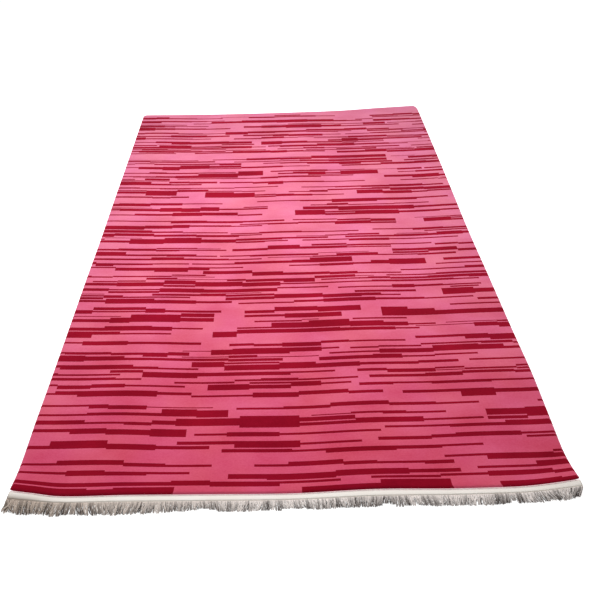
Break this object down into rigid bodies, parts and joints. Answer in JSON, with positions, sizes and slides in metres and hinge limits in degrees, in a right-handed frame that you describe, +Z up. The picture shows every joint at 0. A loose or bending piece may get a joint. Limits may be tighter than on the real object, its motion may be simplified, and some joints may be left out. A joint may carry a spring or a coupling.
{
  "type": "nepalese rug",
  "caption": "Hand-knotted Nepalese rug with a cut wool pile in pink and broken crimson stripes, a cream cotton end tape and a short cotton fringe, lying flat with one corner curled up.",
  "frame": {"origin": "On the floor under the middle of the box around the whole rug, fringe included.", "axes": "+Y runs along the rug away from the fringed end, +X across it to the right as seen from the fringed end, +Z up from the floor."},
  "size_m": [1.7358, 2.509, 0.03],
  "materials": {
    "wool_pile": "velvety cut wool pile, pink ground with broken crimson stripes woven across",
    "cotton_tape": "smooth plain-woven cream cotton tape",
    "cotton_fringe": "matt grey-white twisted cotton strands"
  },
  "bodies": {
    "root": {"knotted_pile": "wool_pile", "end_tape": "cotton_tape", "fringe": "cotton_fringe"}
  },
  "joints": []
}
